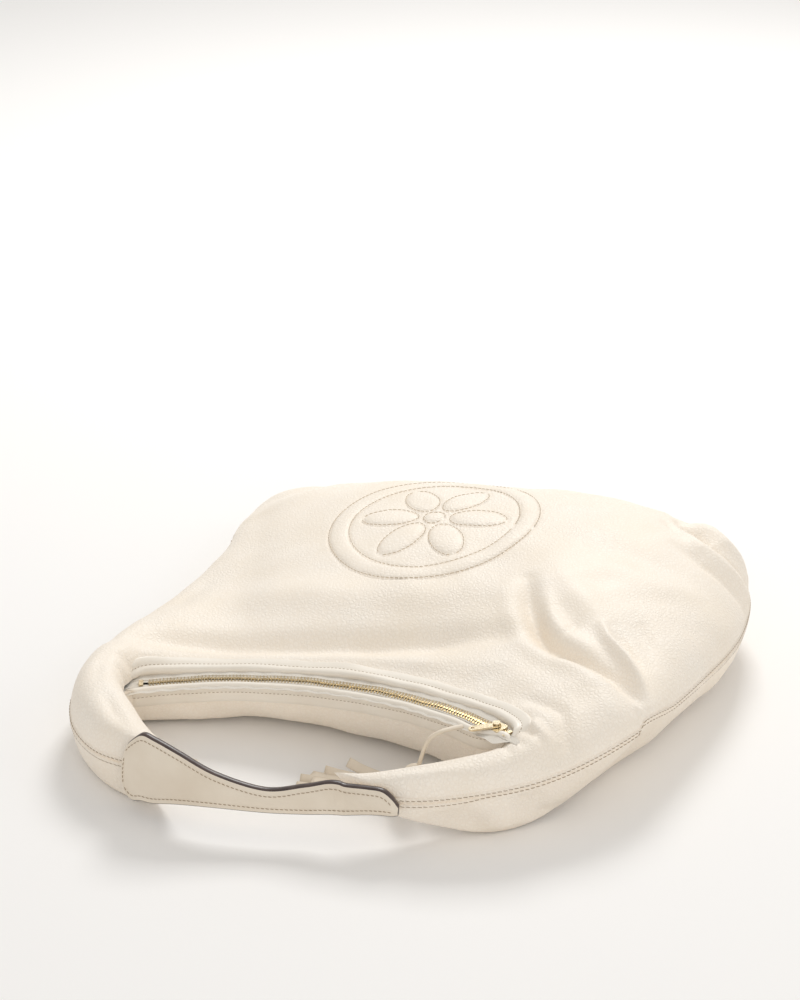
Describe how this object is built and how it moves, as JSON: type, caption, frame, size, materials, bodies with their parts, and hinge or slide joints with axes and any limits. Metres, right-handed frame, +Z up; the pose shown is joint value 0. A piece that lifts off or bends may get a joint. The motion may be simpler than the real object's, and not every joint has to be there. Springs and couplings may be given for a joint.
{
  "type": "hobo bag",
  "caption": "Slouchy cream leather shoulder bag with a curved top zip, tassel pull, padded strap and a stitched petal emblem, lying flat on its back panel.",
  "frame": {"origin": "on the floor under the middle of the bag's bounding box", "axes": "+Z up out of the front panel, +Y from the strap to the bottom of the bag, +X along the width"},
  "size_m": [0.41, 0.439, 0.0914],
  "materials": {
    "leather": "pebbled, satin",
    "smooth_leather": "smooth, satin",
    "padding": "soft foam and wadding",
    "lining": "twill",
    "tape": "woven",
    "pale_gold": "polished"
  },
  "bodies": {
    "bag": {"front_panel": "leather", "back_panel": "leather", "lining_front": "lining", "lining_back": "lining", "emblem_padding": "padding", "zip_tape_front": "tape", "zip_tape_back": "tape", "zip_teeth_front": "pale_gold", "zip_teeth_back": "pale_gold", "zip_facing_front": "smooth_leather", "zip_facing_back": "smooth_leather", "zip_stops": "pale_gold", "pocket_bag": "lining", "pocket_zip_tape": "tape", "pocket_zip_teeth": "pale_gold", "slip_pocket": "lining", "lining_patch": "smooth_leather"},
    "handle": {"left_arm_front": "leather", "left_arm_back": "leather", "left_arm_core": "padding", "right_arm_front": "leather", "right_arm_back": "leather", "right_arm_core": "padding", "strap_pad_outer": "smooth_leather", "strap_pad_core": "padding", "strap_pad_inner": "smooth_leather"},
    "slider": {"zip_slider": "pale_gold"},
    "tassel": {"zip_puller": "pale_gold", "tassel_cord": "smooth_leather", "tassel_cap": "smooth_leather", "tassel_strips": "smooth_leather"},
    "pocket_slider": {"pocket_zip_slider": "pale_gold"}
  },
  "joints": [
    {"name": "zip_slide", "type": "hinge", "parent": "bag", "child": "slider", "pos_m": [-0.019, -0.3775, 0.0462], "axis": [-0.0993, 0, 0.9951], "range_deg": [0, 52]},
    {"name": "tassel_swing", "type": "hinge", "parent": "slider", "child": "tassel", "pos_m": [0.10789, -0.11371, 0.05887], "axis": [-0.0993, 0, 0.9951], "range_deg": [0, 88]},
    {"name": "handle_fold", "type": "hinge", "parent": "bag", "child": "handle", "pos_m": [-0.002, -0.1365, 0.0302], "axis": [-1, 0, 0], "range_deg": [0, 40]},
    {"name": "pocket_zip_slide", "type": "slide", "parent": "bag", "child": "pocket_slider", "axis": [1, 0, 0], "range_m": [0, 0.1]}
  ],
  "couplings": [
    {"joint": "tassel_swing", "follows": "zip_slide", "ratio": 1.6923}
  ]
}
